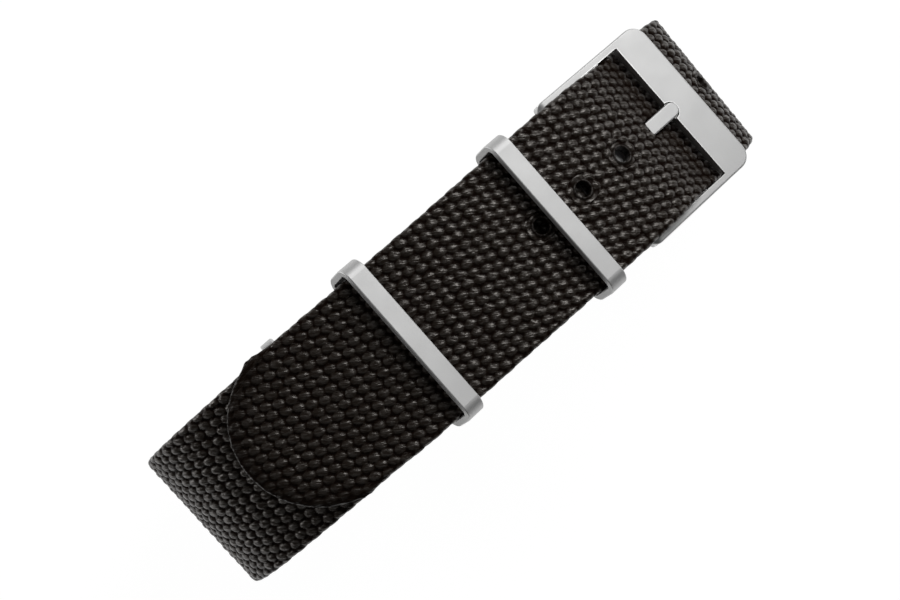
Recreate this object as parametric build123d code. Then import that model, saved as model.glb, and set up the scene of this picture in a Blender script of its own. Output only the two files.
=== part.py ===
from build123d import *
from math import acos, atan2, cos, degrees, hypot, pi, radians, sin, sqrt
import os

# A woven pass-through watch strap, buckled into a closed loop that lies on its underside.
# One long webbing ends in a fold round the buckle's pin, runs over the top, round the left end,
# along the underside, up the right end, under the buckle's outer bar, and back over the top as
# the free tail. A shorter webbing is sewn inside it and ends in a fold that holds a third ring.
# Millimetres. +X runs from the free tip towards the buckle, +Y across the webbing, +Z up.
# The origin is on the resting underside, on the webbing's centre line, under the loop's middle.

# Webbing
strap_width = 20.0
strap_thickness = 1.3
tail_gap = 0.2
layer_gap = 0.15
tip_x = -30.55
tip_depth = 8.0

# Loop outline, all of it for the webbing's outer face
loop_height = 40.0
crown_x = -12.0
crown_radius = 95.0
left_x = -41.95
left_height = 19.5
left_shoulder_x = -33.4
left_shoulder_drop = 6.5
left_shoulder_angle = 25.0
right_x = 43.9
right_height = 13.0
underside_left_x = -5.0
underside_right_x = 29.0
keel_x = -23.2
keel_rise = 1.85
keel_angle = 10.0

# Buckle frame, in its own plane, measured from the hinge pin's axis
pin_x = 23.6
pin_radius = 0.65
pin_end_inset = 0.2
pin_strap_clearance = 0.10
frame_angle = 20.0
frame_side_clearance = 0.2
frame_arm = 0.9
frame_reach = 17.15
bar_width = 4.5
frame_thickness = 1.3
eye_radius = 1.15
eye_corner = 1.0
frame_corner = 2.0
frame_edge = 0.25
bar_strap_clearance = 0.4
bar_entry_lead = 0.6
bar_entry_angle = 10.0

# Tongue
tongue_width = 1.9
tongue_thickness = 0.83
tongue_overlap = 0.9
tongue_edge = 0.2
notch_depth = 0.35
notch_gap = 0.22
curl_clearance = 0.05
curl_slot_clearance = 0.3
tongue_rest_gap = 0.02
tongue_cross_lead = 4.35
tongue_cross_angle = 28.0
tongue_hole_clearance = 0.2

# Adjustment holes, counted from the one that the tongue uses: positive is towards the tip. The
# webbing hangs back on the tongue, so its holes are set back towards the bar
hole_pitch = 7.0
hole_diameter = 2.0
hole_setback = 0.65
holes_before_tongue = 3
holes_past_tongue = 5

# Rings, which hold their layers of webbing with some play
ring_thickness = 0.9
ring_side_clearance = 0.4
ring_play = 1.15
ring_band = 2.5
ring_corner = 1.7
ring_inner_corner = 0.5
ring_edge = 0.15
front_ring_x = 16.15
front_ring_angle = 4.0
rear_ring_x = -5.85
rear_ring_angle = 22.0
rear_ring_drift = 0.15
end_ring_band = 1.8
end_ring_side_clearance = 0.9
end_ring_play = 0.45
end_ring_angle = -8.0
end_ring_drift = 0.6

# Pockets and folds of the two webbings
pocket_end_room = 0.25
rear_pocket_depth = 0.3
pocket_ramp = 4.0
fold_back_ramp = 3.2
end_fold_inner_radius = 0.75
end_fold_seam_length = 4.6

# Stitch rows
thread = 0.35
thread_proud = 0.10
stitch_length = 2.1
stitch_pitch = 2.55
stitch_row_spacing = 1.6
seam_edge_margin = 1.0

overrun = 1.0

# A sine under this share counts as straight, and a round end takes this share of its width
STRAIGHT_SHARE = 1e-6
ROUND_END_SHARE = 0.49

# Sizes that follow: the webbing's half thickness, the step between layers, and the fits
half = strap_thickness / 2
inner_step = strap_thickness + layer_gap
pin_fold_radius = pin_radius + pin_strap_clearance + half
end_fold_radius = end_fold_inner_radius + half
pocket_step = 2 * inner_step
pocket_middle = pocket_step / 2
rear_pocket_step = pocket_step + rear_pocket_depth
rear_pocket_middle = rear_pocket_step / 2
pocket_half = ring_band / 2 + pocket_end_room
frame_width = strap_width + 2 * (frame_side_clearance + frame_arm)
bar_inner = frame_reach - bar_width
tongue_reach = bar_inner + tongue_overlap
tongue_cross_reach = bar_inner - tongue_cross_lead
ring_inner_width = strap_width + 2 * ring_side_clearance
end_ring_inner_width = strap_width + 2 * end_ring_side_clearance
captive_gap = pocket_middle - half - ring_thickness / 2
ring_inner_height = captive_gap + 2 * strap_thickness + tail_gap + ring_play
end_captive_gap = end_fold_inner_radius - ring_thickness / 2
end_ring_inner_height = end_captive_gap + 2 * strap_thickness + layer_gap + end_ring_play


# Poses and paths in the XZ plane: a pose is (x, z, heading in degrees), and a path is a list of
# (pose, length, curvature), each a straight run or an arc, tangent to the next.
def shifted(pose, left):
    """The pose moved to the left of its heading."""
    x, z, heading = pose
    return (x - left * sin(radians(heading)), z + left * cos(radians(heading)), heading)


def turned(pose):
    """The same place, facing the other way."""
    return (pose[0], pose[1], pose[2] + 180)


def ahead(run, length=None):
    """The pose reached along a run, at its end or after a length."""
    (x, z, heading), whole, curvature = run
    length = whole if length is None else length
    a = radians(heading)
    if curvature == 0:
        return (x + length * cos(a), z + length * sin(a), heading)
    b = a + curvature * length
    return (x + (sin(b) - sin(a)) / curvature, z - (cos(b) - cos(a)) / curvature, degrees(b))


def arc_to(pose, x, z):
    """The arc that leaves a pose and ends at a point, or a straight run if that lies ahead."""
    across, along = x - pose[0], z - pose[1]
    chord = hypot(across, along)
    a = radians(pose[2])
    side = (cos(a) * along - sin(a) * across) / chord
    front = (cos(a) * across + sin(a) * along) / chord
    turn = 2 * atan2(side, front)
    if abs(side) < STRAIGHT_SHARE:
        return (pose, chord, 0)
    curvature = 2 * side / chord
    return (pose, turn / curvature, curvature)


def biarc(start, end):
    """Two tangent arcs that leave one pose and arrive at another."""
    a, b = radians(start[2]), radians(end[2])
    vx, vz = end[0] - start[0], end[1] - start[1]
    tx, tz = cos(a) + cos(b), sin(a) + sin(b)
    along, square = vx * tx + vz * tz, vx * vx + vz * vz
    spread = 2 * (1 - cos(b - a))
    if spread < STRAIGHT_SHARE:
        reach = square / (2 * along)
    else:
        reach = (sqrt(along * along + spread * square) - along) / spread
    mx = (start[0] + end[0] + reach * (cos(a) - cos(b))) / 2
    mz = (start[1] + end[1] + reach * (sin(a) - sin(b))) / 2
    first = arc_to(start, mx, mz)
    return [first, arc_to(ahead(first), end[0], end[1])]


def path_through(poses):
    runs = []
    for start, end in zip(poses, poses[1:]):
        runs += biarc(start, end)
    return runs


def path_length(path):
    return sum(length for _, length, _ in path)


def pose_at(path, distance):
    """The pose at a distance along a path."""
    for run in path[:-1]:
        if distance <= run[1]:
            return ahead(run, distance)
        distance -= run[1]
    return ahead(path[-1], distance)


def edge_of(run, left):
    """One run's edge, moved to the left of the path."""
    points = [shifted(ahead(run, share * run[1]), left) for share in (0, 0.5, 1)]
    start, middle, end = [Vector(x, 0, z) for x, z, _ in points]
    if run[2] == 0:
        return Edge.make_line(start, end)
    return Edge.make_three_point_arc(start, middle, end)


def ribbon(path):
    """Webbing that follows a path: its section is drawn on both sides and extruded across."""
    left = [edge_of(run, half) for run in path]
    right = [edge_of(run, -half) for run in path]
    caps = [Edge.make_line(left[0] @ 0, right[0] @ 0), Edge.make_line(left[-1] @ 1, right[-1] @ 1)]
    return extrude(Face(Wire(left + caps + right)), amount=strap_width / 2, both=True)


def placed(pose, shape, across=0.0):
    """A shape drawn round the origin, put at a pose: its X along the heading, its Z to the left."""
    return Pos(pose[0], across, pose[1]) * Rot(0, -pose[2], 0) * shape


# The crown: concentric layers over the top, from the tail down to the short webbing
crown_z = loop_height - crown_radius
tail_radius = crown_radius - half
fixed_radius = tail_radius - strap_thickness - tail_gap

# The hinge pin lies in the fold, so its place in X gives the angle where the crown ends
pin_angle = degrees(acos((pin_x - crown_x) / (fixed_radius - pin_fold_radius)))
pin_z = crown_z + (fixed_radius - pin_fold_radius) * sin(radians(pin_angle))


def at_pin_angle(radius):
    """The pose on a crown layer over the pin, facing the tip."""
    x, z = crown_x + radius * cos(radians(pin_angle)), crown_z + radius * sin(radians(pin_angle))
    return (x, z, pin_angle + 90)


def frame_pose(reach, height, slope):
    """A pose given in the frame's plane, facing the pin along a downward slope."""
    a = radians(frame_angle)
    x = pin_x + reach * cos(a) + height * sin(a)
    return (x, pin_z - reach * sin(a) + height * cos(a), 180 - frame_angle - slope)


# The long webbing's fixed layer: from the pin over the top, round the left end, to the underside
pin_over = at_pin_angle(fixed_radius)
crown_top = (crown_x, crown_z + fixed_radius, 180)
shoulder_face = (left_shoulder_x, loop_height - left_shoulder_drop, 180 + left_shoulder_angle)
left_shoulder = shifted(shoulder_face, half)
left_end = (left_x + half, left_height, 270)
keel = (keel_x, half + keel_rise, 360 - keel_angle)
underside_start = (underside_left_x, half, 360)
upper_part = path_through([pin_over, crown_top, left_shoulder, left_end, keel])
fixed_part = upper_part + biarc(keel, underside_start)


def on_fixed(distance, inwards=0.0):
    """The pose on the fixed layer at a distance from the pin, moved inwards."""
    return shifted(pose_at(fixed_part, distance), inwards)


# Ring pockets: a captive bar lies in the middle of a pocket between the fixed layer and the
# short webbing, and the ring stands out of it, square to the webbing or leaning
def captive_distance(front_x, lean, depth):
    """How far from the pin a captive bar lies, so that its ring's front bar is at a place in X."""
    tilt = lean + 90 - degrees(acos((front_x - crown_x) / fixed_radius))
    captive_x = front_x - (ring_inner_height + ring_thickness) * sin(radians(tilt))
    angle = acos((captive_x - crown_x) / (fixed_radius - depth))
    return fixed_radius * (angle - radians(pin_angle))


front_at = captive_distance(front_ring_x, front_ring_angle, pocket_middle)
rear_at = captive_distance(rear_ring_x, rear_ring_angle, rear_pocket_middle)
end_at = path_length(upper_part)
front_pivot = on_fixed(front_at, pocket_middle)
rear_pivot = on_fixed(rear_at, rear_pocket_middle)
end_pivot = on_fixed(end_at, inner_step + end_fold_radius)

# The long webbing's sewn end, under the fixed layer, and its fold round the pin
pin_under = turned(at_pin_angle(fixed_radius - 2 * pin_fold_radius))
fold_back_poses = [front_at - pocket_half, fold_back_ramp]
sewn_poses = [turned(on_fixed(distance, inner_step)) for distance in fold_back_poses]
sewn_part = path_through(sewn_poses + [pin_under])
pin_fold = (pin_under, pi * pin_fold_radius, 1 / pin_fold_radius)

# The long webbing's right end and free tail
underside_end = (underside_right_x, half, 360)
right_end = (right_x - half, right_height, 450)
bar_drop = frame_thickness / 2 + bar_strap_clearance + half
bar_under = frame_pose(bar_inner + bar_entry_lead, -bar_drop, bar_entry_angle)
tongue_low = frame_thickness / 2 - notch_depth + tongue_rest_gap
tongue_middle = tongue_low + tongue_thickness / 2
tongue_cross = frame_pose(tongue_cross_reach, tongue_middle, tongue_cross_angle)
tail_over_pin = at_pin_angle(tail_radius)
tail_top = (crown_x, crown_z + tail_radius, 180)
tip = (tip_x, crown_z + tail_radius, 180)
bar_from_below = (bar_under[0], bar_under[1], bar_under[2] + 360)
right_part = path_through([underside_start, underside_end, right_end, bar_from_below])
tail_part = path_through([bar_under, tongue_cross, tail_over_pin, tail_top, tip])
long_path = sewn_part + [pin_fold] + fixed_part + right_part + tail_part


# The short webbing follows the long one, bulges over the rear ring's pocket, and folds round
# the third ring's bar
def pocket_poses(middle, side, step):
    """The short webbing on one side of a pocket: flat under it, then against the long webbing."""
    low = on_fixed(middle + side * pocket_half, step)
    return [low, on_fixed(middle + side * (pocket_half + pocket_ramp), inner_step)]


def poses_past(path, distance):
    """Where the runs of a path begin, past a distance."""
    poses, reached = [], 0
    for run in path:
        if reached > distance:
            poses.append(run[0])
        reached += run[1]
    return poses


end_fold_at = end_at + end_ring_band / 2 - layer_gap
end_ramp_at = end_at - end_ring_band / 2 - pocket_end_room
end_seam_at = end_ramp_at - fold_back_ramp
rear_past = rear_at + pocket_half + pocket_ramp
round_the_end = [shifted(pose, inner_step) for pose in poses_past(upper_part, rear_past)]
end_fold_start = on_fixed(end_fold_at, inner_step)
end_fold_stop = turned(on_fixed(end_fold_at, inner_step + 2 * end_fold_radius))
end_ramp_poses = [
    turned(on_fixed(end_ramp_at, inner_step + 2 * end_fold_radius)),
    turned(on_fixed(end_seam_at, 2 * inner_step)),
    turned(on_fixed(end_seam_at - end_fold_seam_length, 2 * inner_step)),
]
short_poses = [on_fixed(fold_back_ramp, pocket_step)] + pocket_poses(front_at, 1, pocket_step)
short_poses += pocket_poses(rear_at, -1, rear_pocket_step)[::-1]
short_poses += pocket_poses(rear_at, 1, rear_pocket_step)
short_path = (
    path_through(short_poses + round_the_end + [end_fold_start])
    + [(end_fold_start, pi * end_fold_radius, 1 / end_fold_radius)]
    + path_through([end_fold_stop] + end_ramp_poses)
)


# Webbing pieces
def tip_waste():
    """What is cut away round the free tip, which leaves a rounded end with two corners."""
    width = strap_width / 2
    radius = (width * width + tip_depth * tip_depth) / (2 * tip_depth)
    z = tip[1]
    box_size = (tip_depth + overrun, strap_width + overrun, strap_thickness + tail_gap)
    box = Pos(tip_x + (tip_depth - overrun) / 2, 0, z) * Box(*box_size)
    disc = Pos(tip_x + radius, 0, z) * Cylinder(radius, strap_thickness + overrun)
    return box - disc


def adjustment_holes():
    """Round punched holes at an even pitch along the webbing, apart from the tongue's own."""
    whole = right_part + tail_part
    zero = path_length(right_part + biarc(bar_under, tongue_cross)) - hole_setback
    drill = Cylinder(hole_diameter / 2, strap_thickness + tail_gap)
    holes = []
    for step in range(-holes_past_tongue, holes_before_tongue + 1):
        if step:
            holes.append(placed(pose_at(whole, zero + step * hole_pitch), drill))
    return holes


def tongue_opening():
    """The slanted opening that the tongue pushes through the tail."""
    start = pin_fold_radius + half + tongue_hole_clearance
    height = tongue_thickness + 2 * tongue_hole_clearance
    width = tongue_width + 2 * tongue_hole_clearance
    box = Box(bar_inner - start, width, height)
    return on_frame(Pos((start + bar_inner) / 2, 0, tongue_middle) * box)


def curl_slot():
    """The slot in the fold that leaves room for the tongue's curl."""
    radius = pin_fold_radius + half + tongue_hole_clearance
    width = tongue_width + 2 * curl_slot_clearance
    return on_frame(Rot(90, 0, 0) * Cylinder(radius, width))


def on_frame(shape):
    """A shape drawn in the buckle frame's plane, with the pin's axis at its origin, put in place."""
    return Pos(pin_x, 0, pin_z) * Rot(0, frame_angle, 0) * shape


def make_long_strap():
    return ribbon(long_path) - [tip_waste(), tongue_opening(), curl_slot()] - adjustment_holes()


def make_short_strap():
    return ribbon(short_path)


# Metal pieces
def tongue_notch():
    """The shallow rest in the bar's top, in which the tongue's round end lies."""
    start, end = bar_inner - overrun, tongue_reach + notch_gap
    width = tongue_width + 2 * notch_gap
    bottom = frame_thickness / 2 - notch_depth
    rest = Pos((start + end) / 2, 0, bottom + overrun / 2) * Box(end - start, width, overrun)
    return fillet(rest.edges().filter_by(Axis.Z).group_by(Axis.X)[-1], width * ROUND_END_SHARE)


def make_buckle_frame():
    """A U-shaped frame: a broad flat outer bar and two thin arms that end in eyes for the pin."""
    top = frame_thickness / 2
    upper = [(0, 0, eye_radius), (bar_inner, 0, top), (frame_reach, 0, top)]
    lower = [(frame_reach, 0, -top), (bar_inner, 0, -top), (0, 0, -eye_radius)]
    profile = Polyline(upper + lower, close=True)
    body = extrude(make_face(profile), amount=frame_width / 2, both=True)
    body += Rot(90, 0, 0) * Cylinder(eye_radius, frame_width)
    body = fillet(body.edges().filter_by(Axis.Z).group_by(Axis.X)[-1], frame_corner)
    rim = body.edges().group_by(Axis.X)[-1]
    body = fillet(rim.filter_by(Axis.Y), frame_edge)
    plan_length = frame_reach + eye_radius + overrun
    plan = Box(plan_length, frame_width, 2 * eye_radius + overrun)
    plan = fillet(plan.edges().filter_by(Axis.Z).group_by(Axis.X)[0], eye_corner)
    body &= Pos(plan_length / 2 - eye_radius, 0, 0) * plan
    gap_start = -eye_radius - overrun
    gap_size = (bar_inner - gap_start, frame_width - 2 * frame_arm, 2 * eye_radius + overrun)
    gap = Pos((bar_inner + gap_start) / 2, 0, 0) * Box(*gap_size)
    bore = Rot(90, 0, 0) * Cylinder(pin_radius, frame_width + overrun)
    return on_frame(body - gap - bore - tongue_notch())


def make_hinge_pin():
    """A plain pin, pressed in the frame's two eyes, with its ends just inside their faces."""
    return on_frame(Rot(90, 0, 0) * Cylinder(pin_radius, frame_width - 2 * pin_end_inset))


def make_tongue():
    """A flat tongue with a round end, and a closed curl that turns on the pin."""
    outer = pin_radius + curl_clearance + tongue_thickness
    blade = Pos(tongue_reach / 2, 0, tongue_middle) * Box(tongue_reach, tongue_width, tongue_thickness)
    end_edges = blade.edges().filter_by(Axis.Z).group_by(Axis.X)[-1]
    blade = fillet(end_edges, tongue_width * ROUND_END_SHARE)
    blade = fillet(blade.faces().sort_by(Axis.Z)[-1].edges().group_by(Axis.X)[1:], tongue_edge)
    curl = Rot(90, 0, 0) * Cylinder(outer, tongue_width)
    bore = Rot(90, 0, 0) * Cylinder(pin_radius + curl_clearance, tongue_width + overrun)
    return on_frame(blade + curl - bore)


def make_ring(inner_width, inner_height, band):
    """A rectangular ring bent from flat strip, standing on its captive bar at the origin."""
    outside = RectangleRounded(
        inner_width + 2 * ring_thickness, inner_height + 2 * ring_thickness, ring_corner
    )
    inside = RectangleRounded(inner_width, inner_height, ring_inner_corner)
    ring = extrude(Plane.YZ * (outside - inside), amount=band / 2, both=True)
    rims = ring.edges().filter_by(lambda edge: abs(edge.center().X) > band / 4)
    return Pos(0, 0, (inner_height + ring_thickness) / 2) * fillet(rims, ring_edge)


def stand_ring(ring, pivot, lean, drift=0.0):
    """A ring put on its captive bar's pose, standing out of the loop and leaning."""
    return placed(turned(pivot), Rot(0, lean, 0) * ring, drift)


# Stitch rows
def stitch_row(distance, first_layer, last_layer):
    """A row of lockstitches across the webbing: closed loops of thread through all its layers."""
    first, last = first_layer - half - thread_proud, last_layer + half + thread_proud
    loop = Box(thread, stitch_length + thread, last - first)
    loop -= Box(thread + overrun, stitch_length - thread, last - first - 2 * thread)
    count = int((strap_width - 2 * seam_edge_margin) / stitch_pitch)
    middle = on_fixed(distance, (first + last) / 2)
    return [placed(middle, loop, (i - (count - 1) / 2) * stitch_pitch) for i in range(count)]


def make_seam_buckle():
    """Two rows through the fixed layer, its sewn end and the short webbing."""
    start = fold_back_ramp + seam_edge_margin
    second = start + stitch_row_spacing
    return Compound(stitch_row(start, 0, pocket_step) + stitch_row(second, 0, pocket_step))


def make_seam_front():
    """A row past the front pocket's ramp, where the two webbings lie against each other."""
    row = front_at + pocket_half + pocket_ramp + seam_edge_margin
    return Compound(stitch_row(row, 0, inner_step))


def make_seam_rear():
    """A row on each side of the rear pocket."""
    reach = pocket_half + pocket_ramp + seam_edge_margin
    before, after = rear_at - reach, rear_at + reach
    return Compound(stitch_row(before, 0, inner_step) + stitch_row(after, 0, inner_step))


def make_seam_end():
    """Two rows that close the short webbing's fold round the third ring's bar."""
    start = end_seam_at - seam_edge_margin
    second = start - stitch_row_spacing
    rows = stitch_row(start, inner_step, 2 * inner_step)
    return Compound(rows + stitch_row(second, inner_step, 2 * inner_step))


keeper = make_ring(ring_inner_width, ring_inner_height, ring_band)
end_keeper = make_ring(end_ring_inner_width, end_ring_inner_height, end_ring_band)
parts = {
    "long_strap": make_long_strap(),
    "short_strap": make_short_strap(),
    "buckle_frame": make_buckle_frame(),
    "hinge_pin": make_hinge_pin(),
    "tongue": make_tongue(),
    "keeper_front": stand_ring(keeper, front_pivot, front_ring_angle),
    "keeper_rear": stand_ring(keeper, rear_pivot, rear_ring_angle, rear_ring_drift),
    "keeper_end": stand_ring(end_keeper, end_pivot, end_ring_angle, end_ring_drift),
    "seam_buckle": make_seam_buckle(),
    "seam_front": make_seam_front(),
    "seam_rear": make_seam_rear(),
    "seam_end": make_seam_end(),
}

os.makedirs("parts", exist_ok=True)
for name, shape in parts.items():
    export_step(shape, f"parts/{name}.step")

print("long webbing", round(path_length(long_path), 2), "short", round(path_length(short_path), 2))
print("hinge axis", round(pin_x, 4), round(pin_z, 4))
for name, pivot in (("front", front_pivot), ("rear", rear_pivot), ("end", end_pivot)):
    print(name, "ring axis", round(pivot[0], 4), round(pivot[1], 4), "heading", round(pivot[2], 3))
tightest = min(1 / abs(run[2]) for run in long_path + short_path if run[2])
print("tightest midline radius", round(tightest, 3))
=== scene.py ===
# %% [markdown]
# # A woven pass-through watch strap
# The real strap is one long nylon webbing and a shorter one sewn inside it. A steel buckle frame
# turns on a pin that lies in a fold of the long webbing, and three steel rings keep the layers
# together. The strap is buckled into a closed loop that lies on its underside.
#
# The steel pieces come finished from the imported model, and here they only get a surface.
# The webbings come as plain smooth bands, so this lesson weaves them again, yarn by yarn, on the
# same midline. Sizes are written in millimetres, as a maker would, and become metres at the end.

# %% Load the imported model
import bmesh
import bpy
import numpy as np
from mathutils import Matrix, Vector
from math import acos, atan2, cos, degrees, hypot, pi, radians, sin, sqrt


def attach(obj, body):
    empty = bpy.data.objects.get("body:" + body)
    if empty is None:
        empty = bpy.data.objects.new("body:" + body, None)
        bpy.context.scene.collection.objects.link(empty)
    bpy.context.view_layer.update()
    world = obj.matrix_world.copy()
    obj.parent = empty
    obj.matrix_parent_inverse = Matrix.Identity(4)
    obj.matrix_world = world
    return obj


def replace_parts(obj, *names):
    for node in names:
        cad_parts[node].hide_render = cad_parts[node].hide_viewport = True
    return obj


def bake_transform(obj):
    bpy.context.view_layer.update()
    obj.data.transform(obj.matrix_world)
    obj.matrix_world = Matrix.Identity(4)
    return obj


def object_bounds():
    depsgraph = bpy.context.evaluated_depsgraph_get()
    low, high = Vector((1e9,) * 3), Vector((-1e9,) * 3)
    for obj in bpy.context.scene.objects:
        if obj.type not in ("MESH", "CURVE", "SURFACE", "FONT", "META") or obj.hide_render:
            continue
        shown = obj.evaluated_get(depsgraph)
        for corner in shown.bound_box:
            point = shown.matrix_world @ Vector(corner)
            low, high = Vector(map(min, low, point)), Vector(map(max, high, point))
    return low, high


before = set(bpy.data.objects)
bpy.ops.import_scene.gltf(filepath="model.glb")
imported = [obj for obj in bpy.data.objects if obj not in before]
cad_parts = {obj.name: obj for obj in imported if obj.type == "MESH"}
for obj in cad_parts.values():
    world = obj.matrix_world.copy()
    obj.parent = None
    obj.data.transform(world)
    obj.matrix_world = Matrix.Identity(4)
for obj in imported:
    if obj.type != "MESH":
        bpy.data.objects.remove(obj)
cad_low, cad_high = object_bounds()
MM = 0.001
print("pieces of the packed model:", ", ".join(sorted(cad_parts)))

# %% [markdown]
# ## Camera
# The photograph is taken from almost straight above, with the strap turned 41.3 degrees in the
# picture. The rings' inner walls show on both sides of the picture's middle, so the lens is close.
# A 64 mm lens some 180 mm above the webbing gives the same widening of what lies nearer. A little
# more of the lower layers shows along one edge, so the camera stands 3 mm to that side and looks
# back at the webbing. Depth of field stays off, so that every yarn is sharp from any side.

# %% Camera above the middle of the loop
CAMERA_LENS, CAMERA_NEAR = 64, 0.01
CAMERA_HEIGHT, CAMERA_ACROSS, CAMERA_TILT, STRAP_TURN = 222.0, 3.1, 0.78, 41.3


def add_object(name, data):
    """An object for a camera, a lamp or a mesh, linked to the scene."""
    made = bpy.data.objects.new(name, data)
    bpy.context.scene.collection.objects.link(made)
    return made


camera_data = bpy.data.cameras.new("camera")
camera_data.lens, camera_data.clip_start = CAMERA_LENS, CAMERA_NEAR
camera = add_object("camera", camera_data)
camera.location = (0, CAMERA_ACROSS * MM, CAMERA_HEIGHT * MM)
tilt = Matrix.Rotation(radians(-CAMERA_TILT), 3, "X")
turn = Matrix.Rotation(radians(-STRAP_TURN), 3, "Z")
camera.rotation_euler = (tilt @ turn).to_euler()
bpy.context.scene.camera = camera
bpy.context.scene.view_settings.view_transform = "Standard"
print("camera at", tuple(round(c, 3) for c in camera.location))

# %% [markdown]
# ## Helpers for materials
# A material in Blender is a net of nodes. It can be put together by hand in the shader editor,
# but a script can be read, repeated and changed. Two helpers keep it short: one fills a node's
# inputs, each with a value or with what another node gives, and one makes the node first.

# %% Making and filling nodes
def feed(tree, node, inputs):
    """Fills a node's inputs, each with a value or with another node's output."""
    for name, given in inputs.items():
        if isinstance(given, bpy.types.NodeSocket):
            tree.links.new(given, node.inputs[name])
        else:
            node.inputs[name].default_value = given


def add_node(tree, kind, inputs, **settings):
    """A new node with its settings and its inputs."""
    made = tree.nodes.new(kind)
    for name, value in settings.items():
        setattr(made, name, value)
    feed(tree, made, inputs)
    return made


def calculate(tree, operation, *given):
    """What an operation makes of numbers or of other nodes' outputs."""
    return add_node(tree, "ShaderNodeMath", dict(enumerate(given)), operation=operation).outputs[0]


def new_material(name):
    """A material, its net of nodes and its main shader."""
    made = bpy.data.materials.new(name)
    made.use_nodes = True
    return made, made.node_tree, made.node_tree.nodes["Principled BSDF"]


print("helpers for materials ready")

# %% [markdown]
# ## Floor
# A product photographer lays the strap on a white sweep and lights that until it is pure white.
# More lamps could do it here too, but they would also pour light on the black webbing. So the
# floor glows instead, and only for what looks at it: the camera, what the steel mirrors, and what
# glass would let through. A tenth of it still takes light, so the shadow stays. The domes of the
# underside stand a little below the model's smooth band, so the floor lies 0.1 mm under it.

# %% A white floor that keeps the shadow
floor_reach, floor_drop = 2.0, 0.1
glow_strength, glow_share = 1.09, 0.90

floor_paint, tree, shader = new_material("white_floor")
feed(tree, shader, {"Base Color": (0.8, 0.8, 0.8, 1), "Roughness": 0.9})
glow = add_node(tree, "ShaderNodeEmission", {"Strength": glow_strength})
rays = add_node(tree, "ShaderNodeLightPath", {}).outputs
seen = calculate(tree, "MAXIMUM", rays["Is Camera Ray"], rays["Is Glossy Ray"])
seen = calculate(tree, "MAXIMUM", seen, rays["Is Transmission Ray"])
share = calculate(tree, "MULTIPLY", seen, glow_share)
both = {"Fac": share, 1: shader.outputs["BSDF"], 2: glow.outputs["Emission"]}
mixer = add_node(tree, "ShaderNodeMixShader", both)
feed(tree, tree.nodes["Material Output"], {"Surface": mixer.outputs["Shader"]})

corners = [(x * floor_reach, y * floor_reach, 0) for x, y in ((-1, -1), (1, -1), (1, 1), (-1, 1))]
floor_mesh = bpy.data.meshes.new("floor")
floor_mesh.from_pydata(corners, [], [(0, 1, 2, 3)])
floor_mesh.materials.append(floor_paint)
floor = add_object("floor", floor_mesh)
floor.location.z = cad_low.z - floor_drop * MM
print("floor", 2 * floor_reach, "m wide")

# %% [markdown]
# ## Light
# Each dome of the webbing carries one bright stroke on its upper right, and the flat steel faces
# are evenly light. A sun lamp would give hard shadows and a pinpoint on every yarn. One soft box
# beyond the buckle, some 36 degrees up, gives the strokes and fills the steel. A larger one
# stands low on the left, where it lights the shoulder and the edge of the tip but only grazes the
# tail. The room gives a little even light, which keeps the deepest gaps from going black.

# %% The room's light and the soft boxes
room_light = 0.10
world = bpy.data.worlds.new("room")
world.use_nodes = True
sky = world.node_tree.nodes["Background"]
feed(world.node_tree, sky, {"Color": (1, 1, 1, 1), "Strength": room_light})
bpy.context.scene.world = world


def soft_box(name, place, target, size, power):
    """A square soft light at a place, aimed at a target, all in millimetres."""
    lamp = bpy.data.lights.new(name, "AREA")
    lamp.shape = "SQUARE"
    lamp.size = size * MM
    lamp.energy = power
    box = add_object(name, lamp)
    box.location = [c * MM for c in place]
    aim = np.array(target, float) - np.array(place, float)
    box.rotation_euler = Vector(aim).to_track_quat("-Z", "Y").to_euler()
    print(name, "at", place, "mm")


soft_box("soft_box_right", (190, 82, 180), (10, 0, 35), 170, 0.36)
soft_box("soft_box_left", (-310, 350, 105), (-25, 0, 30), 240, 0.58)

# %% [markdown]
# ## Driving sizes
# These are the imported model's own sizes. They could be measured from its meshes, but the midlines
# below need the numbers that it was drawn with, so they are written again. A change here without
# the same change in the model would pull the two apart.

# %% Sizes of the webbing and of what it passes
strap_width, strap_thickness, tail_gap, layer_gap = 20.0, 1.3, 0.2, 0.15
tip_x, tip_depth = -30.55, 8.0
loop_height, crown_x, crown_radius = 40.0, -12.0, 95.0
left_x, left_height = -41.95, 19.5
left_shoulder_x, left_shoulder_drop, left_shoulder_angle = -33.4, 6.5, 25.0
right_x, right_height = 43.9, 13.0
underside_left_x, underside_right_x = -5.0, 29.0
keel_x, keel_rise, keel_angle = -23.2, 1.85, 10.0
pin_x, pin_radius, pin_strap_clearance = 23.6, 0.65, 0.10
frame_angle, frame_reach, bar_width, frame_thickness = 20.0, 17.15, 4.5, 1.3
bar_strap_clearance, bar_entry_lead, bar_entry_angle = 0.4, 0.6, 10.0
tongue_width, tongue_thickness, tongue_rest_gap = 1.9, 0.83, 0.02
tongue_cross_lead, tongue_cross_angle, tongue_hole_clearance = 4.35, 28.0, 0.2
curl_slot_clearance, notch_depth = 0.3, 0.35
hole_pitch, hole_diameter, hole_setback, holes_before_tongue, holes_past_tongue = 7.0, 2.0, 0.65, 3, 5
ring_thickness, ring_play, ring_band = 0.9, 1.15, 2.5
front_ring_x, front_ring_angle, rear_ring_x, rear_ring_angle = 16.15, 4.0, -5.85, 22.0
end_ring_band = 1.8
pocket_end_room, rear_pocket_depth, pocket_ramp, fold_back_ramp = 0.25, 0.3, 4.0, 3.2
end_fold_inner_radius, end_fold_seam_length = 0.75, 4.6
thread, thread_proud, stitch_length, stitch_pitch = 0.35, 0.10, 2.1, 2.55
stitch_row_spacing, seam_edge_margin = 1.6, 1.0
print("webbing", strap_width, "by", strap_thickness, "mm")

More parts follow.
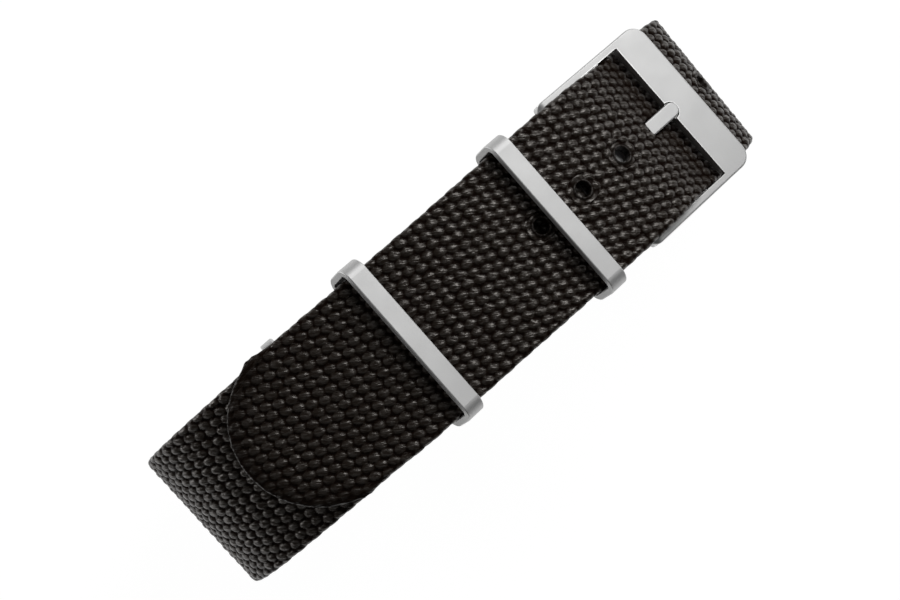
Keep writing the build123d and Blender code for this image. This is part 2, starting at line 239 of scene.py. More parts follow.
# %% [markdown]
# The next sizes follow from those. The captive bar of each sewn ring lies in a pocket between the
# two webbings, and a fold's midline lies half the webbing's thickness outside what it wraps. Each
# could be written as a number too, but worked out here it can't disagree with the others.

# %% Sizes that follow
half = strap_thickness / 2
inner_step = strap_thickness + layer_gap
pin_fold_radius = pin_radius + pin_strap_clearance + half
end_fold_radius = end_fold_inner_radius + half
pocket_step = 2 * inner_step
pocket_middle = pocket_step / 2
rear_pocket_step = pocket_step + rear_pocket_depth
rear_pocket_middle = rear_pocket_step / 2
pocket_half = ring_band / 2 + pocket_end_room
bar_inner = frame_reach - bar_width
tongue_cross_reach = bar_inner - tongue_cross_lead
captive_gap = pocket_middle - half - ring_thickness / 2
ring_inner_height = captive_gap + 2 * strap_thickness + tail_gap + ring_play
print("pockets", round(pocket_step, 2), "and", round(rear_pocket_step, 2), "mm deep")

# %% [markdown]
# ## The midlines
# A webbing bends but hardly stretches, so its midline is drawn as straight runs and arcs that
# flow into each other. A curve object could do this, but its control points don't say how long
# the webbing is, and the weave has to be counted along it. So a path is a list of runs, each a
# starting pose, a length and a curvature, and a pose is a place and a heading.

# %% Poses and runs
def shifted(pose, left):
    """The pose moved to the left of its heading."""
    x, z, heading = pose
    return (x - left * sin(radians(heading)), z + left * cos(radians(heading)), heading)


def turned(pose):
    """The same place, facing the other way."""
    return (pose[0], pose[1], pose[2] + 180)


def ahead(run, length=None):
    """The pose reached along a run, at its end or after a length."""
    (x, z, heading), whole, curvature = run
    length = whole if length is None else length
    a = radians(heading)
    if curvature == 0:
        return (x + length * cos(a), z + length * sin(a), heading)
    b = a + curvature * length
    return (x + (sin(b) - sin(a)) / curvature, z - (cos(b) - cos(a)) / curvature, degrees(b))


print("half a turn of radius 1 ends at", [round(c, 3) for c in ahead(((0, 0, 0), pi, 1))])

# %% [markdown]
# Between two poses a webbing could follow any smooth curve. Two arcs that touch, a biarc, are the
# simplest one: their length is exact, and the bend stays even, as in a real springy band.

# %% Biarcs between poses
def arc_to(pose, x, z):
    """The arc that leaves a pose and ends at a point, or a straight run if that lies ahead."""
    across, along = x - pose[0], z - pose[1]
    chord = hypot(across, along)
    a = radians(pose[2])
    side = (cos(a) * along - sin(a) * across) / chord
    front = (cos(a) * across + sin(a) * along) / chord
    if abs(side) < 1e-6:
        return (pose, chord, 0)
    curvature = 2 * side / chord
    return (pose, 2 * atan2(side, front) / curvature, curvature)


def biarc(start, end):
    """Two tangent arcs that leave one pose and arrive at another."""
    a, b = radians(start[2]), radians(end[2])
    vx, vz = end[0] - start[0], end[1] - start[1]
    along = vx * (cos(a) + cos(b)) + vz * (sin(a) + sin(b))
    square, spread = vx * vx + vz * vz, 2 * (1 - cos(b - a))
    reach = square / (2 * along)
    if spread >= 1e-6:
        reach = (sqrt(along * along + spread * square) - along) / spread
    mx = (start[0] + end[0] + reach * (cos(a) - cos(b))) / 2
    mz = (start[1] + end[1] + reach * (sin(a) - sin(b))) / 2
    first = arc_to(start, mx, mz)
    return [first, arc_to(ahead(first), end[0], end[1])]


def path_through(poses):
    """Biarcs from each pose to the next."""
    return [run for start, end in zip(poses, poses[1:]) for run in biarc(start, end)]


def path_length(path):
    """The length of all runs of a path."""
    return sum(length for _, length, _ in path)


def pose_at(path, distance):
    """The pose at a distance along a path."""
    for run in path[:-1]:
        if distance <= run[1]:
            return ahead(run, distance)
        distance -= run[1]
    return ahead(path[-1], distance)


quarter_turn = path_through([(0, 0, 0), (1, 1, 90)])
print("a quarter turn of radius 1 is", round(path_length(quarter_turn), 4), "long")

# %% [markdown]
# The top of the loop is a crown of concentric layers. The buckle's pin lies in a fold at the
# crown's right end, so the pin's place in X says where the crown stops.

# %% The crown and the buckle's plane
crown_z = loop_height - crown_radius
tail_radius = crown_radius - half
fixed_radius = tail_radius - strap_thickness - tail_gap
pin_angle = degrees(acos((pin_x - crown_x) / (fixed_radius - pin_fold_radius)))
pin_z = crown_z + (fixed_radius - pin_fold_radius) * sin(radians(pin_angle))


def at_pin_angle(radius):
    """The pose on a crown layer over the pin, facing the tip."""
    a = radians(pin_angle)
    return (crown_x + radius * cos(a), crown_z + radius * sin(a), pin_angle + 90)


def frame_pose(reach, height, slope):
    """A pose given in the buckle's plane, facing the pin along a downward slope."""
    a = radians(frame_angle)
    x = pin_x + reach * cos(a) + height * sin(a)
    return (x, pin_z - reach * sin(a) + height * cos(a), 180 - frame_angle - slope)


print("hinge pin at", round(pin_x, 2), round(pin_z, 2))

# %% [markdown]
# The fixed layer is the part of the long webbing that everything is sewn to. It runs from over
# the pin along the crown, down the left end and back under the loop. It could be drawn point by
# point, but a few poses, seen in the photograph or guessed, and biarcs between them are enough.
# The rings' captive bars are placed by where their front bars show, because only those can be
# seen from above.

# %% The long webbing's fixed layer, from the pin round the left end to the underside
crown_top = (crown_x, crown_z + fixed_radius, 180)
shoulder_face = (left_shoulder_x, loop_height - left_shoulder_drop, 180 + left_shoulder_angle)
left_shoulder = shifted(shoulder_face, half)
left_end = (left_x + half, left_height, 270)
keel = (keel_x, half + keel_rise, 360 - keel_angle)
underside_start = (underside_left_x, half, 360)
upper_part = path_through([at_pin_angle(fixed_radius), crown_top, left_shoulder, left_end, keel])
fixed_part = upper_part + biarc(keel, underside_start)


def on_fixed(distance, inwards=0.0):
    """The pose on the fixed layer at a distance from the pin, moved inwards."""
    return shifted(pose_at(fixed_part, distance), inwards)


def captive_distance(front_x, lean, depth):
    """How far from the pin a ring's captive bar lies, from where its front bar shows."""
    tilt = lean + 90 - degrees(acos((front_x - crown_x) / fixed_radius))
    captive_x = front_x - (ring_inner_height + ring_thickness) * sin(radians(tilt))
    angle = acos((captive_x - crown_x) / (fixed_radius - depth))
    return fixed_radius * (angle - radians(pin_angle))


front_at = captive_distance(front_ring_x, front_ring_angle, pocket_middle)
rear_at = captive_distance(rear_ring_x, rear_ring_angle, rear_pocket_middle)
end_at = path_length(upper_part)
print("ring bars at", round(front_at, 2), round(rear_at, 2), round(end_at, 2), "mm from the pin")

# %% [markdown]
# One strip makes the sewn end, the fold round the pin, the fixed layer, the underside, the right
# end and the tail, which passes under the buckle's bar, over the tongue and along the crown to
# the free tip. Separate paths would be easier to draw, but joined in one they let a distance
# count the same columns of the weave everywhere.

# %% The whole long webbing, from its sewn end to its free tip
pin_under = turned(at_pin_angle(fixed_radius - 2 * pin_fold_radius))
sewn_at = [front_at - pocket_half, fold_back_ramp]
sewn_part = path_through([turned(on_fixed(d, inner_step)) for d in sewn_at] + [pin_under])
pin_fold = (pin_under, pi * pin_fold_radius, 1 / pin_fold_radius)
underside_end = (underside_right_x, half, 360)
right_end = (right_x - half, right_height, 450)
bar_drop = frame_thickness / 2 + bar_strap_clearance + half
bar_under = frame_pose(bar_inner + bar_entry_lead, -bar_drop, bar_entry_angle)
tongue_middle = frame_thickness / 2 - notch_depth + tongue_rest_gap + tongue_thickness / 2
tongue_cross = frame_pose(tongue_cross_reach, tongue_middle, tongue_cross_angle)
tail_top = (crown_x, crown_z + tail_radius, 180)
tip = (tip_x, crown_z + tail_radius, 180)
bar_from_below = (bar_under[0], bar_under[1], bar_under[2] + 360)
right_part = path_through([underside_start, underside_end, right_end, bar_from_below])
tail_part = path_through([bar_under, tongue_cross, at_pin_angle(tail_radius), tail_top, tip])
long_path = sewn_part + [pin_fold] + fixed_part + right_part + tail_part

fold_starts = path_length(sewn_part)
pin_over_at = fold_starts + pin_fold[1]
right_starts = pin_over_at + path_length(fixed_part)
bar_at = right_starts + path_length(right_part)
tongue_at = bar_at + path_length(biarc(bar_under, tongue_cross))
tip_at = path_length(long_path)
print("long webbing", round(tip_at, 2), "mm, tongue's hole at", round(tongue_at, 2))

# %% [markdown]
# The short webbing lies inside the long one. It bulges over the pockets in which the rings'
# captive bars lie, runs round the left end, and folds back on itself round the third ring. Its
# poses are taken from the fixed layer and moved inwards, so the two can't cut into each other.

# %% The short webbing's midline
def pocket_poses(middle, side, step):
    """One side of a pocket: flat under it, then back against the long webbing."""
    low = on_fixed(middle + side * pocket_half, step)
    return [low, on_fixed(middle + side * (pocket_half + pocket_ramp), inner_step)]


def poses_past(path, distance):
    """Where the runs of a path begin, past a distance."""
    poses, reached = [], 0
    for run in path:
        if reached > distance:
            poses.append(run[0])
        reached += run[1]
    return poses


end_fold_at = end_at + end_ring_band / 2 - layer_gap
end_ramp_at = end_at - end_ring_band / 2 - pocket_end_room
end_seam_at = end_ramp_at - fold_back_ramp
rear_past = rear_at + pocket_half + pocket_ramp
round_the_end = [shifted(pose, inner_step) for pose in poses_past(upper_part, rear_past)]
end_fold_start = on_fixed(end_fold_at, inner_step)
end_fold_stop = turned(on_fixed(end_fold_at, inner_step + 2 * end_fold_radius))
end_ramp_poses = [
    turned(on_fixed(end_ramp_at, inner_step + 2 * end_fold_radius)),
    turned(on_fixed(end_seam_at, 2 * inner_step)),
    turned(on_fixed(end_seam_at - end_fold_seam_length, 2 * inner_step)),
]
short_poses = [on_fixed(fold_back_ramp, pocket_step)] + pocket_poses(front_at, 1, pocket_step)
short_poses += pocket_poses(rear_at, -1, rear_pocket_step)[::-1]
short_poses += pocket_poses(rear_at, 1, rear_pocket_step)
short_path = (
    path_through(short_poses + round_the_end + [end_fold_start])
    + [(end_fold_start, pi * end_fold_radius, 1 / end_fold_radius)]
    + path_through([end_fold_stop] + end_ramp_poses)
)
print("short webbing", round(path_length(short_path), 2), "mm")

# %% [markdown]
# ## The webbing's section
# Cut across, the webbing is a flat band with round edges, as thick as two crossing yarns. A plain
# box with a bevel could have that shape, but the yarns have to be counted round it. So the way
# round is unrolled: it starts in the middle of the inner face, and a whole number of domes fits
# on it, so that the pattern closes on itself.

# %% Points round the section
domes_round = 34
flat_half = (strap_width - strap_thickness) / 2
way_round = 4 * flat_half + 2 * pi * half
dome_pitch = way_round / domes_round


def section(count):
    """Points round the webbing, from the middle of its inner face: place, and way it faces."""
    s = (np.arange(count) + 0.5) * way_round / count
    turn = pi * half
    bends = np.cumsum([0, flat_half, turn, 2 * flat_half, turn, flat_half])
    part = np.searchsorted(bends, s, side="right") - 1
    t = s - bends[part]
    sine, cosine, one, zero = np.sin(t / half), np.cos(t / half), np.ones(count), np.zeros(count)
    face_across = np.choose(part, [zero, sine, zero, -sine, zero])
    face_out = np.choose(part, [-one, -cosine, one, cosine, -one])
    flat_at = np.choose(part, [t, flat_half * one, flat_half - t, -flat_half * one, t - flat_half])
    return s, flat_at + half * face_across, half * face_out, face_across, face_out


print(domes_round, "domes round the webbing,", round(dome_pitch, 3), "mm apart")

# %% [markdown]
# ## Weaving
# This nylon is a tight plain weave: each lengthwise yarn climbs over one cross yarn and dives
# under the next, and its neighbours do the opposite. What shows is a brick pattern of small
# slanting domes, 1.4 mm apart along the strap and 1.2 mm apart across it. A bump map could paint
# them, but they are nearly a third of the webbing deep, and they give the edges their scallops. So
# they are real: the band's skin is a fine grid, and each point is pushed in where no yarn climbs.
# No two domes are alike, so each has its own height, place, tilt and tone. They come from a
# table that is drawn once from a fixed seed, which makes the same strap on each run.

# %% The domes
column_pitch = 1.40
dome_length, dome_width, dome_squareness, dome_slant = 1.62, 1.22, 2.2, 0.16
low_column, tallest_dome = 0.03, 1.12
rise_spread, drift_spread, tilt_spread = 0.04, 0.035, 0.05

chance = np.random.default_rng(41)
TABLE = 512
dome_rise = chance.normal(0, rise_spread, (TABLE, domes_round))
dome_drift = chance.normal(0, drift_spread, (TABLE, domes_round, 2))
dome_tone = chance.uniform(0, 1, (TABLE, domes_round))
dome_tilt = chance.normal(0, tilt_spread, (TABLE, domes_round))


def weave(along, way):
    """Height from 0 to 1 of the yarn at points of the skin, and each yarn's own tone."""
    height, tone = np.zeros(along.shape), np.full(along.shape, 0.5)
    here = np.floor(along / column_pitch)
    for step in (-1, 0, 1):
        column = here + step
        brick = 0.5 * np.mod(column, 2)
        row = np.floor(way / dome_pitch - brick)
        i, j = np.mod(column, TABLE).astype(int), np.mod(row, domes_round).astype(int)
        du = along - (column + 0.5) * column_pitch + dome_drift[i, j, 0]
        dv = way - (row + 0.5 + brick) * dome_pitch + dome_drift[i, j, 1]
        dv = dv + (dome_slant + dome_tilt[i, j]) * du
        far = np.abs(2 * du / dome_length) ** dome_squareness
        far = far + np.abs(2 * dv / dome_width) ** dome_squareness
        dome = np.sqrt(np.clip(1 - far, 0, 1)) * (1 + dome_rise[i, j]) - low_column * np.mod(column, 2)
        tone = np.where(dome > height, dome_tone[i, j], tone)
        height = np.maximum(height, dome)
    return np.clip(height, 0, tallest_dome), tone


print("columns of domes", column_pitch, "mm apart, each dome", dome_length, "by", dome_width, "mm")

# %% [markdown]
# ## From a midline to places
# Each point of a webbing is known by three distances: along the midline, across it and out of it.
# Working out every point's pose from the arcs would be slow, so a table of the midline is read
# every 0.02 mm, and points in between are interpolated. The real loop isn't quite square either:
# both its ends lean a degree or two, so a point there shifts with its distance across.

# %% Places on a midline
table_step, spare_steps = 0.02, 5
left_lean, left_lean_reach = -0.017, 11
right_lean, right_lean_reach = 0.035, 5


def smooth_step(low, high, value):
    """A share that rises softly from 0 at low to 1 at high."""
    t = np.clip((value - low) / (high - low), 0, 1)
    return t * t * (3 - 2 * t)


def midline_table(path, origin):
    """Distances from an origin along a path, with places and left-hand directions."""
    steps = np.arange(-spare_steps, path_length(path) / table_step + spare_steps + 1) * table_step
    x, z, heading = np.array([pose_at(path, d) for d in steps]).T
    heading = np.radians(heading)
    return steps - origin, x, z, -np.sin(heading), np.cos(heading)


def place(table, along, across, out):
    """Points in metres, from distances along, across and out of the midline."""
    steps, *columns = table
    x, z, left_dx, left_dz = (np.interp(along, steps, column) for column in columns)
    lean = left_lean * smooth_step(left_x + left_lean_reach, left_x, x)
    lean = lean + right_lean * smooth_step(right_x - right_lean_reach, right_x, x)
    return np.stack([x - out * left_dx + lean * across, across, z - out * left_dz], -1) * MM


table = midline_table(long_path, tongue_at)
print("long webbing's midline read at", len(table[0]), "places")

# %% [markdown]
# ## The skin
# The skin of a stretch of webbing is a grid: rows along the midline, and points round the section
# in each row. Blender's own modifiers could thicken and bend a plane, but they know nothing of
# yarns. In this grid each point keeps where it lies, which way it faces, which yarn it belongs
# to, and how much the weave fades or has melted there.

# %% The grid of a stretch of webbing
class Skin:
    """A stretch of webbing: a grid of points, with what the weave and the finish need of each."""

    def __init__(self, table, first, last, row_step, count):
        self.table, self.row_step, self.count = table, row_step, count
        self.first_row = round(first / row_step)
        rows = np.arange(self.first_row, round(last / row_step) + 1) * row_step
        s, across, out, face_across, face_out = section(count)
        tall = np.ones((len(rows), 1))
        self.along = rows[:, None] * np.ones((1, count))
        self.woven, self.way = self.along.copy(), tall * s
        self.across, self.out = tall * across, tall * out
        self.face_across, self.face_out = tall * face_across, tall * face_out
        self.fade, self.raised = np.ones_like(self.along), np.zeros_like(self.along)
        self.melted, self.sway = np.zeros_like(self.along), 0
        self.kept = np.ones((len(rows) - 1, count), bool)
        self.walls, self.closed_rows, self.swells = [], [], [(0, 0)]

    def behind(self, column):
        """The grid column on the other face, right behind a column."""
        return (self.count // 2 - 1 - column) % self.count


print("a skin's way round with 204 points has one every", round(way_round / 204, 2), "mm")

# %% [markdown]
# ## Openings
# The holes are punched with a hot tool, which pushes the yarns aside and melts their ends. The
# tongue's hole and the slot for its curl are made in the same way, but without a melted roll. A
# boolean cut would leave ragged triangles and cut yarns straight through. Here the grid's own
# points are pushed out of the opening, along rays from its middle, and the push fades a little
# further out, so that the yarns bend round the hole by themselves. The faces in the middle are
# then left out.

# %% Pushing the yarns out of an opening
push_reach, bare_rim, melted_rim = 2.6, 0.05, 0.35
flat_face, tiny = 0.99, 1e-9


def push_aside(skin, face, at, cells, size, squareness, lip):
    """Pushes one face's points out of an opening. Its cells and its size are halves."""
    block = (cells[0] * skin.row_step, (cells[1] - 0.5) * way_round / skin.count)
    du, dv = skin.along - round(at / skin.row_step) * skin.row_step, skin.across.copy()
    level = np.maximum(np.abs(du) / block[0], np.abs(dv) / block[1])
    near = (skin.face_out * face > flat_face) & (level < push_reach)
    far = np.hypot(du, dv) + tiny
    shares = [(np.abs(d) / far / half_size) ** squareness for d, half_size in zip((du, dv), size)]
    rim_far = (shares[0] + shares[1]) ** (-1 / squareness)
    pushed = rim_far * level / far
    scale = np.where(near, pushed + (1 - pushed) * smooth_step(1, push_reach, level), 1)
    skin.along, skin.across = skin.along + du * (scale - 1), skin.across + dv * (scale - 1)
    away = np.where(near, far * scale - rim_far, np.inf)
    skin.fade = skin.fade * smooth_step(0, bare_rim + lip, away)
    if lip:
        skin.melted = np.maximum(skin.melted, 1 - smooth_step(bare_rim, melted_rim, away))


print("an opening bends the yarns up to", push_reach, "times its block's half size away")

# %% [markdown]
# An opening goes through both faces. The places on the two faces may differ, because the tongue
# crosses the webbing at a slant. The points round the rim are remembered in pairs, so that a wall
# can join them later.

# %% Opening both faces
def open_through(skin, outer_at, inner_at, cells, size, squareness, lip=0.0):
    """Opens both faces. A squareness of 2 makes a round hole, and a lip is its melted roll."""
    push_aside(skin, 1, outer_at, cells, size, squareness, lip)
    push_aside(skin, -1, inner_at, cells, size, squareness, lip)
    long_cells, wide_cells = cells
    outer_row, inner_row = (round(at / skin.row_step) - skin.first_row for at in (outer_at, inner_at))
    columns = list(range(skin.count // 2 - wide_cells, skin.count // 2 + wide_cells))
    rows = list(range(-long_cells, long_cells + 1))
    ring = [(r, columns[0]) for r in rows] + [(rows[-1], c) for c in columns[1:]]
    ring += [(r, columns[-1]) for r in rows[-2::-1]] + [(rows[0], c) for c in columns[-2:0:-1]]
    pairs = [((outer_row + r, c), (inner_row + r, skin.behind(c))) for r, c in ring]
    skin.walls.append((lip, pairs))
    skin.kept[outer_row - long_cells:outer_row + long_cells, columns[0]:columns[-1]] = False
    back = [skin.behind(c) for c in columns[1:]]
    skin.kept[np.ix_(range(inner_row - long_cells, inner_row + long_cells), back)] = False


print("openings ready")

# %% [markdown]
# ## The tip
# The free tip is cut in an arc with a hot knife, which melts the yarns' ends into a thin smooth
# line. A cut through the finished mesh would leave slivers along the arc. So the skin's straight
# rows stop short of it, and its last rows follow it instead, thinner and thinner.

# %% The rows along the arc
tip_radius = ((strap_width / 2) ** 2 + tip_depth**2) / (2 * tip_depth)
free_end, tip_sway, sway_ease = 20.0, 0.037, 3
tip_rows = (
    (1.2, 1.0), (0.9, 1.0), (0.65, 0.97), (0.45, 0.92), (0.30, 0.86),
    (0.18, 0.74), (0.09, 0.56), (0.03, 0.34), (0.0, 0.0),
)


def round_tip(skin, end_at):
    """Ends the skin in an arc. A tip row is a distance from the arc, and a share of thickness."""
    rise = np.sqrt(tip_radius**2 - skin.across[0] ** 2)
    outline, slope = end_at - tip_radius + rise, tip_radius / rise
    limit = outline - tip_rows[0][0] * slope
    skin.along, skin.woven = np.minimum(skin.along, limit), np.minimum(skin.woven, limit)
    for distance, share in tip_rows[1:]:
        row = outline - distance * slope
        skin.along, skin.woven = np.vstack([skin.along, row]), np.vstack([skin.woven, row])
        for name in ("way", "across", "face_across", "face_out", "fade", "raised", "melted"):
            grid = getattr(skin, name)
            setattr(skin, name, np.vstack([grid, grid[-1]]))
        skin.out = np.vstack([skin.out, skin.out[0] * share])
        skin.kept = np.vstack([skin.kept, np.ones((1, skin.count), bool)])
    past_ring = np.maximum(skin.along - end_at + free_end, 0)
    skin.sway = tip_sway * past_ring**2 / (past_ring + sway_ease)


print("tip's arc has a radius of", round(tip_radius, 2), "mm")

# %% [markdown]
# The knife doesn't melt every yarn alike. The melted border is ragged, the cloth is duller for
# some 4 mm behind it, and the cut yarns stand up a few hundredths. A noise texture could shade
# this, but a random number for each line of points along the webbing is as ragged as the real
# border, and it lifts the cut yarns too.

# %% The melted edge of the tip
melted_border, dull_border, dull_share = (0.15, 0.75), 4.2, 0.75
ragged_spread, frayed_spread, frayed_border = 0.10, 0.035, (1.2, 0.2)


def melt_tip(skin, end_at):
    """Melts the weave along the tip's arc, and lets it fray a little."""
    centre, corner = end_at - tip_radius, end_at - tip_depth
    away = tip_radius - np.hypot(np.maximum(skin.along - centre, 0), skin.across)
    away = away + np.maximum(corner - skin.along, 0)
    ragged = away + chance.normal(0, ragged_spread, skin.count)
    skin.fade = skin.fade * smooth_step(*melted_border, ragged)
    skin.melted = np.maximum(skin.melted, 1 - smooth_step(0, melted_border[1], ragged))
    skin.melted = np.maximum(skin.melted, dull_share * smooth_step(dull_border, 0, ragged))
    frayed = chance.normal(0, frayed_spread, skin.count)
    skin.raised = skin.raised + frayed * smooth_step(*frayed_border, away)
    skin.face_across[-1], skin.face_out[-1] = 0, 0


print("melted border", melted_border[1], "mm wide, dull for", dull_border, "mm")

# %% [markdown]
# ## From a skin to a mesh
# The weave now lifts the skin: a dome stands slightly proud of the smooth band, and a gap lies
# 0.38 mm lower, or 0.12 mm at the edges, where the cross yarns turn back. A displacement modifier
# could do this from a texture, but here each point also has to tell the material about its yarn.
# So each point gets nine values: three for its place, three for the yarn and three for the cloth.

# %% Lifting the weave
proud, edge_proud, melted_level = 0.03, 0.16, 0.45
dome_depth, edge_dome_depth = 0.38, 0.12


def lifted(skin):
    """For each point: along, across, out; yarn's height, tone, melted; woven, way round, nought."""
    height, tone = weave(skin.woven, skin.way)
    level = height * skin.fade + melted_level * (1 - skin.fade)
    on_edge = np.abs(skin.face_across)
    depth = dome_depth + (edge_dome_depth - dome_depth) * on_edge
    swell = np.interp(skin.along, *zip(*skin.swells))
    lift = proud + (edge_proud + swell - proud) * on_edge + depth * (level - 1) + skin.raised
    across = skin.across + skin.face_across * lift + skin.sway
    out = skin.out + skin.face_out * lift
    flat = np.zeros_like(across)
    values = [skin.along, across, out, level, tone, skin.melted, skin.woven, skin.way, flat]
    return np.stack([v.ravel() for v in values], -1)


print("gaps", dome_depth, "mm deep on the faces and", edge_dome_depth, "mm at the edges")

# %% [markdown]
# Four neighbours in the grid make a face. At a cut end more faces join the outer side to the
# inner one, so that no end shows a hollow skin. Blender could fill the end with one big face, but
# with that many corners it would shade badly.

# %% The faces of a skin
def skin_faces(skin, index):
    """Four-cornered faces between the skin's points, and over its closed ends."""
    beside = np.roll(index, -1, axis=1)
    quads = np.stack([index[:-1], index[1:], beside[1:], beside[:-1]], -1)[skin.kept].tolist()
    for row in skin.closed_rows:
        columns = range(skin.count // 4, 3 * skin.count // 4)
        front, back = index[row, columns], index[row, [skin.behind(c) for c in columns]]
        quads += np.stack([front[:-1], front[1:], back[1:], back[:-1]], -1).tolist()
    return quads


print("faces ready")

# %% [markdown]
# A punched hole has a melted roll round its rim, which rises a little before it turns down into
# the hole. A torus could be laid on it, but it would float or cut in. So the wall of an opening is
# built of rings of points: four that rise and fall as the roll, five down the wall, and four for
# the roll on the inner face. An opening without a lip has only the wall.

# %% The wall and lip of an opening
LIP_SHARES = ((0.10, 0.35), (0.40, 0.60), (0.75, 0.45), (0.97, 0.10))
WALL_SHARES, wall_level_share = (0.1, 0.3, 0.5, 0.7, 0.9), 0.3


def wall_rings(lip):
    """How far down, inwards and up each ring of an opening's wall lies."""
    roll = [(0, inwards * lip, rise * lip) for inwards, rise in LIP_SHARES if lip]
    wall = [(share, lip, 0) for share in WALL_SHARES]
    return roll + wall + [(1, inwards, -rise) for _, inwards, rise in roll[::-1]]


def add_walls(skin, index, points, quads):
    """Adds the faces of all openings' walls, and returns the points with theirs added."""
    blocks = [points]
    for lip, pairs in skin.walls:
        outer, inner = ([int(index[pair[side]]) for pair in pairs] for side in (0, 1))
        rings, top, bottom = [outer], points[outer], points[inner]
        for down, inwards, rise in wall_rings(lip):
            ring = top + (bottom - top) * down
            arm = ring[:, :2] - ring[:, :2].mean(0)
            ring[:, :2] -= arm / np.hypot(*arm.T)[:, None] * inwards
            ring[:, 2] += rise
            ring[:, 3:] = top[:, 3:]
            # A wall gets a low yarn level, so where it isn't melted it takes the gaps' painted shade
            # colour.
            ring[:, 3] = melted_level * (1 if rise else wall_level_share)
            start = sum(len(block) for block in blocks)
            rings.append(list(range(start, start + len(ring))))
            blocks.append(ring)
        rings.append(inner)
        for a, b in zip(rings, rings[1:]):
            n = len(a)
            quads += [[a[i], a[(i + 1) % n], b[(i + 1) % n], b[i]] for i in range(n)]
    return np.vstack(blocks)


print("a hole with a lip has", len(wall_rings(1.0)), "rings, one without", len(wall_rings(0)))

# %% [markdown]
# The mesh is made from these points in one go, which is far quicker than one point at a time.
# The yarn's and the cloth's values go along as attributes, which a material can read by name.
# Points that meet along the tip's cut are merged, and loose ones inside the openings are removed.

# %% A mesh from a skin
merge_distance = 1e-7


def skin_object(name, skin):
    """Weaves a skin and makes an object of it."""
    index = np.arange(skin.along.size).reshape(skin.along.shape)
    quads = skin_faces(skin, index)
    points = add_walls(skin, index, lifted(skin), quads)
    mesh = bpy.data.meshes.new(name)
    mesh.from_pydata(place(skin.table, *points[:, :3].T).tolist(), [], quads)
    for attribute, column in (("yarn", 3), ("cloth", 6)):
        made = mesh.attributes.new(attribute, "FLOAT_VECTOR", "POINT")
        made.data.foreach_set("vector", points[:, column:column + 3].astype(np.float32).ravel())
    work = bmesh.new()
    work.from_mesh(mesh)
    bmesh.ops.remove_doubles(work, verts=work.verts, dist=merge_distance)
    bmesh.ops.delete(work, geom=[v for v in work.verts if not v.link_faces], context="VERTS")
    bmesh.ops.recalc_face_normals(work, faces=work.faces)
    work.to_mesh(mesh)
    work.free()
    mesh.shade_smooth()
    print(name, len(mesh.vertices), "points")
    return add_object(name, mesh)


print("points nearer than", merge_distance, "m are merged")

# %% [markdown]
# ## The nylon's colour
# The yarn is brown-black nylon. The dye takes unevenly, so each yarn gets a tone of its own. The
# bottoms of the gaps are painted nearly black, a painted shade where the domes shadow them. Where a
# hot tool has melted the yarns they run into a smooth dark skin. An image of cloth could be laid
# over the band, but it wouldn't follow the domes. The material reads the numbers that the weaving
# left on the mesh instead.

# %% Colours of the webbing
def mix_colour(tree, share, first, second):
    """A mix of two colours, each four numbers or another node's output."""
    given = {"Factor": share, 6: first, 7: second}
    return add_node(tree, "ShaderNodeMix", given, data_type="RGBA").outputs[2]


def ramp(tree, value, low, high, to_low, to_high):
    """A value from low to high, spread over another range and held at its ends."""
    given = {"Value": value, "From Min": low, "From Max": high, "To Min": to_low, "To Max": to_high}
    return add_node(tree, "ShaderNodeMapRange", given).outputs["Result"]


# The gap colour is a painted shade for the bottoms of the gaps.
gap_shade_colour, melted_colour = (0.0085, 0.0044, 0.0030, 1), (0.010, 0.0065, 0.0048, 1)
dark_yarn, light_yarn = (0.0185, 0.0128, 0.0094, 1), (0.0220, 0.0162, 0.0124, 1)

nylon, tree, shader = new_material("woven_nylon")
yarn = add_node(tree, "ShaderNodeAttribute", {}, attribute_name="yarn").outputs["Vector"]
dome, tone, melted = add_node(tree, "ShaderNodeSeparateXYZ", {0: yarn}).outputs
# Low on the domes, the colour turns to the gaps' painted shade.
out_of_gap_shade = ramp(tree, dome, 0.35, 0.62, 0, 1)
woven_colour = mix_colour(tree, out_of_gap_shade, gap_shade_colour, mix_colour(tree, tone, dark_yarn, light_yarn))
feed(tree, shader, {"Base Color": mix_colour(tree, melted, woven_colour, melted_colour)})
print("nylon's colours from", gap_shade_colour[:3], "to", light_yarn[:3])

# %% [markdown]
# ## The nylon's shine
# The filaments of a yarn run side by side, slanting over each dome, and catch the light in fine
# lines. They are too thin to build, so a noise is stretched along them and turned 35 degrees: it
# drives a bump, and it makes the shine itself streaky, because a bump alone looks blurred from
# afar. The domes shine most and the gaps hardly at all. Melted nylon is duller, except right at a
# melted rim, which is smooth and glossy. The glints are a little warm, as the dyed nylon tints
# them. Anisotropic shading would need a direction on each yarn, and here the streaks are enough.

# %% Filaments and shine of the webbing
def noise(tree, coordinates, scale, detail):
    """Soft patches from 0 to 1 over some coordinates."""
    given = {"Vector": coordinates, "Scale": scale, "Detail": detail}
    return add_node(tree, "ShaderNodeTexNoise", given).outputs["Fac"]


def bumps(tree, height, strength, depth):
    """A surface that seems to rise and fall with a height, by a depth in millimetres."""
    given = {"Height": height, "Strength": strength, "Distance": depth * MM}
    return add_node(tree, "ShaderNodeBump", given).outputs["Normal"]


filament_turn, filament_size, filament_depth = 35.0, (0.9, 0.28, 1.0), 0.13
glint_tint = (1.0, 0.95, 0.90, 1)
woven_roughness, melted_extra = 0.33, 0.14

